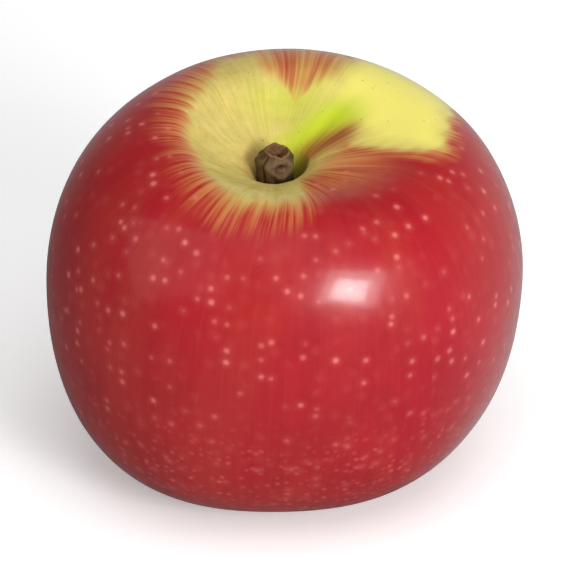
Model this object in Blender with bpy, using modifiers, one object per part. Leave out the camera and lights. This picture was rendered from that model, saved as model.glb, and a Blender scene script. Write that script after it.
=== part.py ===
"""A fresh red apple with its woody stem and its dried eye, standing on its base.

The stem end is up, the base rests on z = 0, and the origin is on the floor under the
middle of the fruit. Every piece is first made upright about the Z axis, and then one
function leans and swells them all together, the way the fruit grew.
"""

import math

import bpy
import numpy as np
from mathutils import Matrix

# Driving dimensions, in metres
FRUIT_DIAMETER = 0.080
FRUIT_HEIGHT = 0.0650
CHEEK_HEIGHT = 0.0368  # where the fruit is widest
SHOULDER_RADIUS = 0.0210  # the crest round the stem cavity
DISH_DROP = 0.0056  # from the crest down to the lip of the funnel
LIP_RADIUS = 0.0065
LIP_SLOPE = math.radians(26)
CAVITY_DEPTH = 0.0158  # from the crest down to the foot of the funnel
FLAT_RADIUS = 0.0138  # outer edge of the ring that the fruit stands on
FLAT_WIDTH = 0.0036
BASIN_DEPTH = 0.0076  # from the floor up to the rim of the eye
EYE_RADIUS = 0.0031
EYE_DEPTH = 0.0042

SHOULDER_FULLNESS = 0.57  # how square the outline is above the cheek, 0 to 1
FLANK_FULLNESS = 0.64  # the same below the cheek
DISH_FULLNESS = 0.26

LEAN_X = 0.080  # slope of the top, down towards +X
LEAN_Y = -0.115  # slope of the top, down towards -Y
OVAL = 0.032
OVAL_TURN = math.radians(27)
THREE_SIDED = -0.017
THREE_SIDED_TURN = math.radians(28)
CAVITY_SHIFT_X = -0.0016  # how far the cavity and the stem stand off the axis
CAVITY_SHIFT_Y = -0.0009
THROAT_SKEW = 0.40  # share of the radius by which the funnel opens wider to one side
THROAT_TURN = math.radians(155)
LOBES = 5
LOBE_TURN = math.radians(15)
LOBE_SWELL = 0.010  # share of the radius, on the lower flank
LOBE_RIDGE = 0.0006  # height of the ridges in the basin

STEM_LENGTH = 0.0140
STEM_FOOT_RADIUS = 0.0022
STEM_BODY_RADIUS = 0.0027
STEM_KNOB_RADIUS = 0.0030
STEM_KNOB_HEIGHT = 0.0060
STEM_SWAY_X = -0.0019  # how far the top stands off the foot's axis
STEM_SWAY_Y = 0.0004
STEM_SWAY_CURVE = 1.5  # 1 is a straight lean, and more bends the stem higher up
SOCKET_DEPTH = 0.0018
CLEARANCE = 0.0003  # between any two pieces that touch

SEPALS = 5
SEPAL_LENGTH = 0.0062
SEPAL_WIDTH = 0.0027
SEPAL_THICKNESS = 0.00045
SEPAL_PINCH = 0.0017  # how far the sepals draw in before they turn out again
STAMENS = 8
STAMEN_LENGTH = 0.0056
STAMEN_RADIUS = 0.00022
STAMEN_RING_RADIUS = 0.0012

FRUIT_STEPS = 64
STEM_STEPS = 28

FUNNEL_TOP = FRUIT_HEIGHT - CAVITY_DEPTH
SOCKET_FLOOR = FUNNEL_TOP - SOCKET_DEPTH
SOCKET_RADIUS = STEM_FOOT_RADIUS + CLEARANCE


def clear_scene():
    for item in list(bpy.data.objects):
        bpy.data.objects.remove(item, do_unlink=True)


def make_collection(name):
    collection = bpy.data.collections.new(name)
    bpy.context.scene.collection.children.link(collection)
    return collection


def make_material(name, colour, roughness, coat=0.0):
    material = bpy.data.materials.new(name)
    material.use_nodes = True
    shader = material.node_tree.nodes["Principled BSDF"]
    shader.inputs["Base Color"].default_value = (*colour, 1.0)
    shader.inputs["Roughness"].default_value = roughness
    shader.inputs["Metallic"].default_value = 0.0
    shader.inputs["Coat Weight"].default_value = coat
    return material


def smooth_step(low, high, value):
    share = np.clip((value - low) / (high - low), 0.0, 1.0)
    return share * share * (3.0 - 2.0 * share)


def arc_between(start, start_pull, end_pull, end, count):
    """Points of a cubic curve after its start, up to and with its end."""
    a, b, c, d = (np.array(point) for point in (start, start_pull, end_pull, end))
    t = np.linspace(0.0, 1.0, count + 1)[1:, None]
    return (1 - t) ** 3 * a + 3 * (1 - t) ** 2 * t * b + 3 * (1 - t) * t**2 * c + t**3 * d


def fruit_profile():
    """Half outline from the socket's floor over the shoulder and round to the eye."""
    cheek_radius = FRUIT_DIAMETER / 2
    flat_inner = FLAT_RADIUS - FLAT_WIDTH
    eye_floor = BASIN_DEPTH + EYE_DEPTH
    lip_z = FRUIT_HEIGHT - DISH_DROP
    lip_reach = 0.3 * LIP_RADIUS
    dish_reach = LIP_RADIUS
    run_out, run_up = math.cos(LIP_SLOPE), math.sin(LIP_SLOPE)
    dish_width = SHOULDER_RADIUS - LIP_RADIUS
    shoulder_width = cheek_radius - SHOULDER_RADIUS
    flank_width = cheek_radius - FLAT_RADIUS

    axis_top = (0.0, SOCKET_FLOOR)
    socket_corner = (SOCKET_RADIUS, SOCKET_FLOOR)
    foot = (SOCKET_RADIUS, FUNNEL_TOP)
    lip = (LIP_RADIUS, lip_z)
    crest = (SHOULDER_RADIUS, FRUIT_HEIGHT)
    cheek = (cheek_radius, CHEEK_HEIGHT)
    flat_edge = (FLAT_RADIUS, 0.0)
    basin_edge = (flat_inner, 0.0)
    eye_rim = (EYE_RADIUS, BASIN_DEPTH)
    eye_corner = (0.75 * EYE_RADIUS, eye_floor)
    axis_bottom = (0.0, eye_floor)

    return np.concatenate([
        np.array([axis_top, (SOCKET_RADIUS / 2, SOCKET_FLOOR), socket_corner, foot]),
        arc_between(foot, (SOCKET_RADIUS + 0.08 * LIP_RADIUS, FUNNEL_TOP + CAVITY_DEPTH / 3),
                    (LIP_RADIUS - lip_reach * run_out, lip_z - lip_reach * run_up), lip, 8),
        arc_between(lip, (LIP_RADIUS + dish_reach * run_out, lip_z + dish_reach * run_up),
                    (SHOULDER_RADIUS - DISH_FULLNESS * dish_width, FRUIT_HEIGHT), crest, 8),
        arc_between(crest, (SHOULDER_RADIUS + SHOULDER_FULLNESS * shoulder_width, FRUIT_HEIGHT),
                    (cheek_radius, CHEEK_HEIGHT + SHOULDER_FULLNESS * (FRUIT_HEIGHT - CHEEK_HEIGHT)),
                    cheek, 11),
        arc_between(cheek, (cheek_radius, (1 - FLANK_FULLNESS) * CHEEK_HEIGHT),
                    (FLAT_RADIUS + FLANK_FULLNESS * flank_width, 0.0), flat_edge, 13),
        np.array([((FLAT_RADIUS + flat_inner) / 2, 0.0), basin_edge]),
        arc_between(basin_edge, (0.7 * flat_inner, 0.0),
                    (EYE_RADIUS + 0.4 * flat_inner, BASIN_DEPTH), eye_rim, 8),
        np.array([(EYE_RADIUS, BASIN_DEPTH + 0.25 * EYE_DEPTH), eye_corner, axis_bottom]),
    ])


def lobed(points):
    """The fruit's own unevenness: oval, faintly three-sided, and five-lobed low down."""
    x, y, z = points.T
    radius = np.hypot(x, y)
    turn = np.arctan2(y, x)
    outer = smooth_step(SOCKET_RADIUS, FLAT_RADIUS, radius)
    swell = outer * (OVAL * np.cos(2 * (turn - OVAL_TURN))
                     + THREE_SIDED * np.cos(3 * (turn - THREE_SIDED_TURN)))
    throat = smooth_step(SOCKET_RADIUS, LIP_RADIUS, radius)
    throat = throat * (1 - smooth_step(LIP_RADIUS, SHOULDER_RADIUS, radius))
    throat = throat * (z > CHEEK_HEIGHT)
    swell = swell + THROAT_SKEW * np.cos(turn - THROAT_TURN) * throat
    lobe = np.cos(LOBES * (turn - LOBE_TURN))
    low_flank = outer * (1 - smooth_step(0.2 * FRUIT_HEIGHT, 0.7 * FRUIT_HEIGHT, z))
    swell = swell + LOBE_SWELL * lobe * low_flank
    inside_flat = FLAT_RADIUS - FLAT_WIDTH
    basin = smooth_step(1.4 * EYE_RADIUS, 2.2 * EYE_RADIUS, radius)
    basin = basin * (1 - smooth_step(0.75 * inside_flat, inside_flat, radius))
    basin = basin * (z < FRUIT_HEIGHT / 2)
    return np.column_stack([x * (1 + swell), y * (1 + swell), z - LOBE_RIDGE * lobe * basin])


def leaned(points):
    """The lean that grows with height: level at the base, tipped and shifted at the top."""
    x, y, z = points.T
    inner = 1 - smooth_step(LIP_RADIUS, SHOULDER_RADIUS, np.hypot(x, y))
    upper = smooth_step(0.4 * FRUIT_HEIGHT, 0.6 * FRUIT_HEIGHT, z)
    x = x + CAVITY_SHIFT_X * inner * upper
    y = y + CAVITY_SHIFT_Y * inner * upper
    share = z / FRUIT_HEIGHT
    shift = share * z / 2
    return np.column_stack([
        x + LEAN_X * shift,
        y + LEAN_Y * shift,
        z - (LEAN_X * x + LEAN_Y * y) * share,
    ])


def as_grown(source, collection, *steps):
    """The object's finished mesh with each step applied to its points, as a new object."""
    bpy.context.view_layer.update()
    evaluated = source.evaluated_get(bpy.context.evaluated_depsgraph_get())
    mesh = bpy.data.meshes.new_from_object(evaluated)
    mesh.transform(source.matrix_world)
    points = np.empty(len(mesh.vertices) * 3)
    mesh.vertices.foreach_get("co", points)
    points = points.reshape(-1, 3)
    for step in steps:
        points = step(points)
    mesh.vertices.foreach_set("co", points.ravel())
    mesh.shade_smooth()
    mesh.set_sharp_from_angle(angle=math.radians(50))
    name = source.name
    bpy.data.objects.remove(source, do_unlink=True)
    grown = bpy.data.objects.new(name, mesh)
    mesh.name = name
    collection.objects.link(grown)
    return grown


def turned(name, profile, steps, collection, material):
    """A profile of (radius, height) pairs turned about the Z axis."""
    mesh = bpy.data.meshes.new(name)
    points = np.column_stack([profile[:, 0], np.zeros(len(profile)), profile[:, 1]])
    edges = [(i, i + 1) for i in range(len(points) - 1)]
    mesh.from_pydata(points.tolist(), edges, [])
    mesh.materials.append(material)
    item = bpy.data.objects.new(name, mesh)
    collection.objects.link(item)
    screw = item.modifiers.new("Turn", "SCREW")
    screw.steps = steps
    screw.render_steps = steps
    screw.use_merge_vertices = True
    screw.merge_threshold = 0.00001
    screw.use_normal_calculate = True
    return item


def make_fruit(collection):
    skin = make_material("skin", (0.43, 0.022, 0.027), 0.28, coat=0.4)
    fruit = turned("fruit", fruit_profile(), FRUIT_STEPS, collection, skin)
    return as_grown(fruit, collection, lobed, leaned)


def stem_profile():
    """Half outline of the stem from its hollowed cut end down to its foot."""
    foot_z = SOCKET_FLOOR + CLEARANCE
    top_z = foot_z + STEM_LENGTH
    knob_z = top_z - 0.35 * STEM_KNOB_HEIGHT
    neck_z = top_z - STEM_KNOB_HEIGHT
    straight_z = foot_z + SOCKET_DEPTH
    body_drop = neck_z - straight_z
    return np.concatenate([
        np.array([(0.0, top_z - 0.12 * STEM_KNOB_RADIUS), (0.5 * STEM_KNOB_RADIUS, top_z),
                  (0.82 * STEM_KNOB_RADIUS, top_z)]),
        arc_between((0.82 * STEM_KNOB_RADIUS, top_z), (STEM_KNOB_RADIUS, top_z),
                    (STEM_KNOB_RADIUS, knob_z), (STEM_KNOB_RADIUS, knob_z), 4),
        arc_between((STEM_KNOB_RADIUS, knob_z), (STEM_KNOB_RADIUS, neck_z),
                    (STEM_BODY_RADIUS, knob_z), (STEM_BODY_RADIUS, neck_z), 5),
        arc_between((STEM_BODY_RADIUS, neck_z), (STEM_BODY_RADIUS, neck_z - body_drop / 3),
                    (STEM_FOOT_RADIUS, straight_z + body_drop / 3),
                    (STEM_FOOT_RADIUS, straight_z), 9),
        np.array([(STEM_FOOT_RADIUS, foot_z), (0.0, foot_z)]),
    ])


def swayed(points):
    """Leans the stem off its axis above the socket, more and more with height."""
    x, y, z = points.T
    straight_z = SOCKET_FLOOR + CLEARANCE + SOCKET_DEPTH
    share = np.clip((z - straight_z) / (STEM_LENGTH - SOCKET_DEPTH), 0.0, 1.0)
    bend = share**STEM_SWAY_CURVE
    return np.column_stack([x + STEM_SWAY_X * bend, y + STEM_SWAY_Y * bend, z])


def make_stem(collection):
    wood = make_material("stem_wood", (0.20, 0.095, 0.040), 0.75)
    stem = turned("stem", stem_profile(), STEM_STEPS, collection, wood)
    return as_grown(stem, collection, swayed, leaned)


def make_sepals(collection):
    """Dried leaflets round the eye: drawn in from its rim, then turned out at the tip."""
    dry_leaf = make_material("dry_leaf", (0.13, 0.085, 0.045), 0.85)
    root_radius = EYE_RADIUS + 0.3 * SEPAL_WIDTH
    root_z = BASIN_DEPTH - CLEARANCE - SEPAL_THICKNESS
    rows, columns = 8, 4

    def curled(points):
        along = np.clip(points[:, 0] + 0.5, 0.0, 1.0)
        across = points[:, 1] * SEPAL_WIDTH * (1.0 - along**1.3) ** 0.8
        across = across * (1.0 - 0.35 * smooth_step(0.0, 0.6, along))
        across = across + points[:, 1] * 0.08 * SEPAL_WIDTH
        radius = root_radius - SEPAL_PINCH * np.sin(0.75 * math.pi * along)
        depth = root_z - SEPAL_LENGTH * along * (1.0 - 0.1 * along)
        return np.column_stack([radius, across, depth])

    for index in range(SEPALS):
        bpy.ops.mesh.primitive_grid_add(x_subdivisions=rows, y_subdivisions=columns, size=1.0)
        leaf = bpy.context.object
        flat = np.empty(len(leaf.data.vertices) * 3)
        leaf.data.vertices.foreach_get("co", flat)
        leaf.data.vertices.foreach_set("co", curled(flat.reshape(-1, 3)).ravel())
        leaf.data.materials.append(dry_leaf)
        wall = leaf.modifiers.new("Wall", "SOLIDIFY")
        wall.thickness = SEPAL_THICKNESS
        wall.offset = 0.0
        leaf.rotation_euler = (0.0, 0.0, 2 * math.pi * (index + 0.5) / SEPALS)
        leaf.name = f"sepal_{index + 1}"
        as_grown(leaf, collection, leaned)


def make_stamens(collection):
    """The withered threads that stand in the eye inside the sepals."""
    thread = make_material("dry_thread", (0.06, 0.035, 0.018), 0.9)
    root_z = BASIN_DEPTH + EYE_DEPTH - CLEARANCE
    for index in range(STAMENS):
        turn = 2 * math.pi * index / STAMENS
        reach = STAMEN_LENGTH * (1.0 - 0.12 * (index % 3))
        curve = bpy.data.curves.new(f"stamen_{index + 1}", "CURVE")
        curve.dimensions = "3D"
        curve.bevel_depth = STAMEN_RADIUS
        curve.bevel_resolution = 2
        curve.use_fill_caps = True
        spline = curve.splines.new("POLY")
        steps = 5
        spline.points.add(steps)
        for step in range(steps + 1):
            share = step / steps
            radius = STAMEN_RING_RADIUS * (1.0 - 0.25 * math.sin(math.pi * share))
            spline.points[step].co = (
                radius * math.cos(turn), radius * math.sin(turn), root_z - reach * share, 1.0)
        curve.materials.append(thread)
        line = bpy.data.objects.new(f"stamen_{index + 1}", curve)
        collection.objects.link(line)
        stamen = as_grown(line, collection, leaned)
        weld = stamen.modifiers.new("Weld", "WELD")
        weld.merge_threshold = 0.00001


def centre_on_origin(fruit, pieces):
    """Brings the middle of the fruit's outer box over the origin, with every piece."""
    points = np.empty(len(fruit.data.vertices) * 3)
    fruit.data.vertices.foreach_get("co", points)
    points = points.reshape(-1, 3)
    middle = (points.min(axis=0) + points.max(axis=0)) / 2
    shift = Matrix.Translation((-middle[0], -middle[1], 0.0))
    for piece in pieces:
        piece.data.transform(shift)


def main():
    clear_scene()
    apple = make_collection("apple")
    fruit = make_fruit(apple)
    make_stem(apple)
    make_sepals(apple)
    make_stamens(apple)
    centre_on_origin(fruit, apple.objects)


main()
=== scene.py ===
import math
import bpy
import numpy as np
from mathutils import Matrix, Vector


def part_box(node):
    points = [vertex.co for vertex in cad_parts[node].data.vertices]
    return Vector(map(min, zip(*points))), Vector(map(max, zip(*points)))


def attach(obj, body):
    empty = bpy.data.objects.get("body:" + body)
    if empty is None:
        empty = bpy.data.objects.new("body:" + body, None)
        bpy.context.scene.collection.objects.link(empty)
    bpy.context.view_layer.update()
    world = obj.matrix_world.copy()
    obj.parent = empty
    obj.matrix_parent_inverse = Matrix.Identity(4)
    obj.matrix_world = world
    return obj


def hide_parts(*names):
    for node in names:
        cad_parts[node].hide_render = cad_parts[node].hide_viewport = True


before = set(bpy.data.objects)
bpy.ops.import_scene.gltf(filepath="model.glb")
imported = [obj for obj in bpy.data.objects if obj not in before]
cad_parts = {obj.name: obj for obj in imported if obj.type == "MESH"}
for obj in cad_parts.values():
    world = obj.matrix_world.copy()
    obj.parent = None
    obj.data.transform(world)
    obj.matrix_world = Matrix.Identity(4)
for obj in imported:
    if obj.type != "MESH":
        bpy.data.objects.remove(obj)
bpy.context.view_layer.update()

# A fresh red apple: fine skin, woody stem, and the dried eye under it.
# Everything is in metres, and angles are in degrees measured from +X towards +Y.
# The side with the best colour faces -Y.

fruitShape = {
    "radius": 0.040, "height": 0.065, "cheekHeight": 0.0368,
    "shoulderRadius": 0.021, "dishDrop": 0.0056, "lipRadius": 0.0065, "lipSlope": 26,
    "cavityDepth": 0.0158, "flatRadius": 0.0138, "flatWidth": 0.0036,
    "basinDepth": 0.0076, "eyeRadius": 0.0031, "eyeDepth": 0.0042,
    "shoulderFullness": 0.57, "flankFullness": 0.64, "dishFullness": 0.26,
    "leanX": 0.080, "leanY": -0.115, "oval": 0.032, "ovalTurn": 27,
    "threeSided": -0.017, "threeSidedTurn": 28,
    "cavityShiftX": -0.0016, "cavityShiftY": -0.0009, "throatSkew": 0.40, "throatTurn": 155,
    "lobes": 5, "lobeTurn": 15, "lobeSwell": 0.010, "lobeRidge": 0.0006,
    "socketRadius": 0.0025, "socketDepth": 0.0018,
    "columns": 360,
}
fruitShape["funnelTop"] = fruitShape["height"] - fruitShape["cavityDepth"]
fruitShape["socketFloor"] = fruitShape["funnelTop"] - fruitShape["socketDepth"]


def smoothStep(low, high, value):
    # 3t^2 - 2t^3, with t the share of the way from low to high, held between 0 and 1
    t = np.clip((value - low) / (high - low), 0.0, 1.0)
    return t * t * (3.0 - 2.0 * t)


def bump(centre, width, value):
    # bell curve: 1 at the centre, falling off as exp(-(distance / width)^2)
    return np.exp(-((value - centre) / width) ** 2)


def turnGap(turn, centre):
    # signed angle in degrees from centre to turn, the short way round
    return (np.degrees(turn) - centre + 180.0) % 360.0 - 180.0


def cubicRun(start, startPull, endPull, end, count):
    # cubic curve of four control points, without its first point
    a, b, c, d = (np.array(point) for point in (start, startPull, endPull, end))
    t = np.linspace(0.0, 1.0, count + 1)[1:, None]
    return (1 - t) ** 3 * a + 3 * (1 - t) ** 2 * t * b + 3 * (1 - t) * t**2 * c + t**3 * d


def straightRun(start, end, count):
    # straight line without its first point
    t = np.linspace(0.0, 1.0, count + 1)[1:, None]
    return np.array(start) * (1 - t) + np.array(end) * t


def fruitMeridian(f):
    # (radius, height) pairs from the socket's floor over the shoulder to the floor of the eye
    lip = (f["lipRadius"], f["height"] - f["dishDrop"])
    slope = math.radians(f["lipSlope"])
    out, up = math.cos(slope), math.sin(slope)
    back, ahead = 0.3 * f["lipRadius"], f["lipRadius"]
    dishWidth = f["shoulderRadius"] - f["lipRadius"]
    shoulderWidth = f["radius"] - f["shoulderRadius"]
    flankWidth = f["radius"] - f["flatRadius"]
    foot = (f["socketRadius"], f["funnelTop"])
    crest = (f["shoulderRadius"], f["height"])
    cheek = (f["radius"], f["cheekHeight"])
    flatInner = f["flatRadius"] - f["flatWidth"]
    eyeRim = (f["eyeRadius"], f["basinDepth"])
    eyeFloor = f["basinDepth"] + f["eyeDepth"]
    shoulderRise = f["shoulderFullness"] * (f["height"] - f["cheekHeight"])
    return np.concatenate([
        np.array([(0.0, f["socketFloor"])]),
        straightRun((0.0, f["socketFloor"]), (f["socketRadius"], f["socketFloor"]), 2),
        straightRun((f["socketRadius"], f["socketFloor"]), foot, 3),
        cubicRun(foot, (f["socketRadius"] + 0.08 * f["lipRadius"], f["funnelTop"] + f["cavityDepth"] / 3),
                 (lip[0] - back * out, lip[1] - back * up), lip, 26),
        cubicRun(lip, (lip[0] + ahead * out, lip[1] + ahead * up),
                 (f["shoulderRadius"] - f["dishFullness"] * dishWidth, f["height"]), crest, 40),
        cubicRun(crest, (f["shoulderRadius"] + f["shoulderFullness"] * shoulderWidth, f["height"]),
                 (f["radius"], f["cheekHeight"] + shoulderRise), cheek, 58),
        cubicRun(cheek, (f["radius"], (1 - f["flankFullness"]) * f["cheekHeight"]),
                 (f["flatRadius"] + f["flankFullness"] * flankWidth, 0.0), (f["flatRadius"], 0.0), 72),
        straightRun((f["flatRadius"], 0.0), (flatInner, 0.0), 6),
        cubicRun((flatInner, 0.0), (0.7 * flatInner, 0.0),
                 (eyeRim[0] + 0.4 * flatInner, f["basinDepth"]), eyeRim, 26),
        straightRun(eyeRim, (0.75 * f["eyeRadius"], eyeFloor), 6),
        straightRun((0.75 * f["eyeRadius"], eyeFloor), (0.0, eyeFloor), 2),
    ])


def grow(points, f):
    # the lean that grows with height, after the cavity has moved off the axis:
    # x + leanX * z^2 / 2H, y + leanY * z^2 / 2H, z - (leanX * x + leanY * y) * z / H
    x, y, z = np.moveaxis(points, -1, 0)
    inner = 1 - smoothStep(f["lipRadius"], f["shoulderRadius"], np.hypot(x, y))
    upper = smoothStep(0.4 * f["height"], 0.6 * f["height"], z)
    x = x + f["cavityShiftX"] * inner * upper
    y = y + f["cavityShiftY"] * inner * upper
    share = z / f["height"]
    return np.stack([
        x + f["leanX"] * share * z / 2,
        y + f["leanY"] * share * z / 2,
        z - (f["leanX"] * x + f["leanY"] * y) * share,
    ], axis=-1)


def fruitPoints(radius, height, turn, f):
    # a circle of the meridian's radius, swelled by low waves round the axis, then leaned
    outer = smoothStep(f["socketRadius"], f["flatRadius"], radius)
    swell = outer * (f["oval"] * np.cos(2 * (turn - math.radians(f["ovalTurn"])))
                     + f["threeSided"] * np.cos(3 * (turn - math.radians(f["threeSidedTurn"]))))
    throat = smoothStep(f["socketRadius"], f["lipRadius"], radius)
    throat = throat * (1 - smoothStep(f["lipRadius"], f["shoulderRadius"], radius))
    throat = throat * (height > f["cheekHeight"])
    swell = swell + f["throatSkew"] * np.cos(turn - math.radians(f["throatTurn"])) * throat
    lobe = np.cos(f["lobes"] * (turn - math.radians(f["lobeTurn"])))
    lowFlank = outer * (1 - smoothStep(0.2 * f["height"], 0.7 * f["height"], height))
    swell = swell + f["lobeSwell"] * lobe * lowFlank
    flatInner = f["flatRadius"] - f["flatWidth"]
    basin = smoothStep(1.4 * f["eyeRadius"], 2.2 * f["eyeRadius"], radius)
    basin = basin * (1 - smoothStep(0.75 * flatInner, flatInner, radius)) * (height < f["height"] / 2)
    x = radius * np.cos(turn) * (1 + swell)
    y = radius * np.sin(turn) * (1 + swell)
    return grow(np.stack([x, y, height - f["lobeRidge"] * lobe * basin + 0 * x], axis=-1), f)


def closedRings(points, cap):
    # quads between the rows of a grid whose columns go round, with a fan to one point at each end
    rows, columns = points.shape[:2]
    here = np.arange(rows * columns).reshape(rows, columns)
    right = np.roll(here, -1, axis=1)
    quads = np.stack([here[:-1], here[1:], right[1:], right[:-1]], axis=-1).reshape(-1, 4)
    first, last = rows * columns, rows * columns + 1
    fans = np.concatenate([
        np.stack([here[0], right[0], np.full(columns, first)], axis=-1),
        np.stack([right[-1], here[-1], np.full(columns, last)], axis=-1),
    ])
    return np.concatenate([points.reshape(-1, 3), cap]), quads, fans


def meshFrom(name, points, quads, fans, attributes):
    # one mesh object from whole arrays, with a named attribute for each array of values per vertex
    mesh = bpy.data.meshes.new(name)
    mesh.vertices.add(len(points))
    mesh.vertices.foreach_set("co", points.astype(np.float32).ravel())
    corners = np.concatenate([quads.ravel(), fans.ravel()])
    mesh.loops.add(len(corners))
    mesh.loops.foreach_set("vertex_index", corners.astype(np.int32))
    starts = np.concatenate([np.arange(len(quads)) * 4, len(quads) * 4 + np.arange(len(fans)) * 3])
    mesh.polygons.add(len(starts))
    mesh.polygons.foreach_set("loop_start", starts.astype(np.int32))
    mesh.update(calc_edges=True)
    mesh.validate()
    for key, values in attributes.items():
        kind, slotName = ("FLOAT_VECTOR", "vector") if values.ndim == 2 else ("FLOAT", "value")
        layer = mesh.attributes.new(key, kind, "POINT")
        layer.data.foreach_set(slotName, values.astype(np.float32).ravel())
    mesh.shade_smooth()
    piece = bpy.data.objects.new(name, mesh)
    bpy.context.scene.collection.objects.link(piece)
    return piece


# The fruit's colour map: distances are in millimetres from the stem's axis, turns in degrees.
redEdge = {  # where the red begins, by turn
    0: 11.5, 14: 12.0, 28: 13.0, 40: 15.5, 52: 19.0, 64: 26.0, 78: 28.0, 92: 27.0, 104: 27.0, 120: 26.0,
    134: 23.0, 148: 20.5, 160: 20.0, 170: 18.0, 182: 17.6, 196: 15.8, 208: 16.2, 220: 18.4,
    234: 21.0, 246: 22.4, 258: 21.8, 268: 20.4, 275: 18.2, 282: 14.0, 289: 11.5, 298: 10.2,
    312: 10.0, 330: 10.4, 346: 11.0,
}
rayLength = {  # how far yellow rays reach into the red, by turn
    0: 2.5, 30: 1.5, 60: 1.5, 90: 4.0, 120: 3.0, 145: 3.5, 162: 6.5, 178: 3.0, 210: 3.5, 232: 3.4,
    252: 3.6, 268: 3.0, 280: 2.6, 300: 2.2, 330: 2.6,
}
sunPatch = [(8.8, 9.0), (10.8, 5.4), (13.2, 1.8), (16.8, -1.2), (20.6, -2.6), (24.6, -1.6), (25.8, 4.0),
            (26.2, 9.5), (28.5, 15.5), (31.0, 24.0), (22.0, 31.0), (12.0, 29.0), (7.6, 20.0), (5.6, 14.0)]
redTongue = [(5.2, 4.4), (7.8, 5.6), (10.2, 6.2)]
limeRun = [(2.4, 4.0), (6.4, 8.4), (10.6, 11.6)]
backBlush = {"turn": 87, "tip": 14.0, "middle": 21.0, "halfTurn": 13.0, "most": 1.2, "fadeFrom": 25.0}
softSpots = {  # turn and its width, distance from the axis and its width
    "lime": (92, 30.0, 12.5, 5.0), "sunny": (66, 22.0, 17.0, 4.0), "russet": (345, 26.0, 6.8, 1.8),
    # the dish spot places painted light on the slope right of the cavity
    "rays": (345, 32.0, 11.5, 4.0), "dish": (318, 38.0, 13.0, 4.5),
}
mapSizes = {
    "patchWave": 0.30, "patchRipple": 0.16, "patchSlope": 2.2, "patchRays": 1.0,
    "tongueWidth": 1.1, "brownWidth": 2.4, "limeWidth": 6.2, "limeCore": 1.2, "limeFade": (13.0, 19.0),
    "sunnyEdge": (-2.5, 4.5), "sunnyStart": (9.0, 17.0), "eyeGround": 8.5, "eyeRays": 4.5,
    "lipRusset": -1.8, "lipRussetWidth": 1.4, "mattEnd": (12.0, 20.0), "raySweep": 1.6,
    # the painted shade in the stem cavity: the radii where it fades out, the turn where it is darkest and its
    # width round the axis
    "cavityShadeEdge": (0.0030, 0.0068), "cavityShadeTurn": 15, "cavityShadeWidth": 75.0,
    # where the painted highlight halo sits: its turn, its width round the axis, its height and its band
    "highlightHaloTurn": 318, "highlightHaloWidth": 52.0, "highlightHaloHeight": 0.036, "highlightHaloBand": 0.018,
}


def keyedRound(turn, keys):
    # value at each angle between the keys, with a smooth bend through them
    angles = np.array(sorted(keys))
    values = np.array([keys[a] for a in angles], float)
    angle = np.degrees(turn) % 360.0
    wrapped = np.concatenate([angles - 360, angles, angles + 360])
    tripled = np.tile(values, 3)
    at = np.clip(np.searchsorted(wrapped, angle, side="right") - 1, 0, len(wrapped) - 2)
    share = (angle - wrapped[at]) / (wrapped[at + 1] - wrapped[at])
    share = share * share * (3.0 - 2.0 * share)
    return tripled[at] * (1 - share) + tripled[at + 1] * share


def segmentGap(x, y, start, end):
    # distance to a straight line: its nearest point is a clipped share of the way from start to end
    (ax, ay), (bx, by) = start, end
    along = ((x - ax) * (bx - ax) + (y - ay) * (by - ay)) / ((bx - ax) ** 2 + (by - ay) ** 2)
    along = np.clip(along, 0, 1)
    return np.hypot(x - ax - along * (bx - ax), y - ay - along * (by - ay))


def nearStroke(x, y, stroke):
    # distance to an open line of several points
    return np.minimum.reduce([segmentGap(x, y, *ends) for ends in zip(stroke[:-1], stroke[1:])])


def insideOutline(x, y, outline):
    # distance to a closed outline, positive where a ray towards +x crosses it an odd number of times
    nearest = np.full(x.shape, np.inf)
    inside = np.zeros(x.shape, bool)
    for (ax, ay), (bx, by) in zip(outline, np.roll(outline, -1, axis=0)):
        nearest = np.minimum(nearest, segmentGap(x, y, (ax, ay), (bx, by)))
        spans = (ay > y) != (by > y)
        inside ^= spans & (x < ax + (y - ay) * (bx - ax) / (by - ay + 1e-12 * (by == ay)))
    return np.where(inside, nearest, -nearest)


def cutCorners(outline, passes):
    # each side keeps its middle half and new sides join the ends, so every corner rounds off
    points = np.array(outline, float)
    for _ in range(passes):
        following = np.roll(points, -1, axis=0)
        pairs = [0.75 * points + 0.25 * following, 0.25 * points + 0.75 * following]
        points = np.stack(pairs, axis=1).reshape(-1, 2)
    return points


def softSpot(turn, out, spot):
    # product of two bell curves, round the axis and away from it
    middleTurn, turnWidth, distance, width = spot
    return bump(0.0, turnWidth, turnGap(turn, middleTurn)) * bump(distance, width, out)


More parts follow.
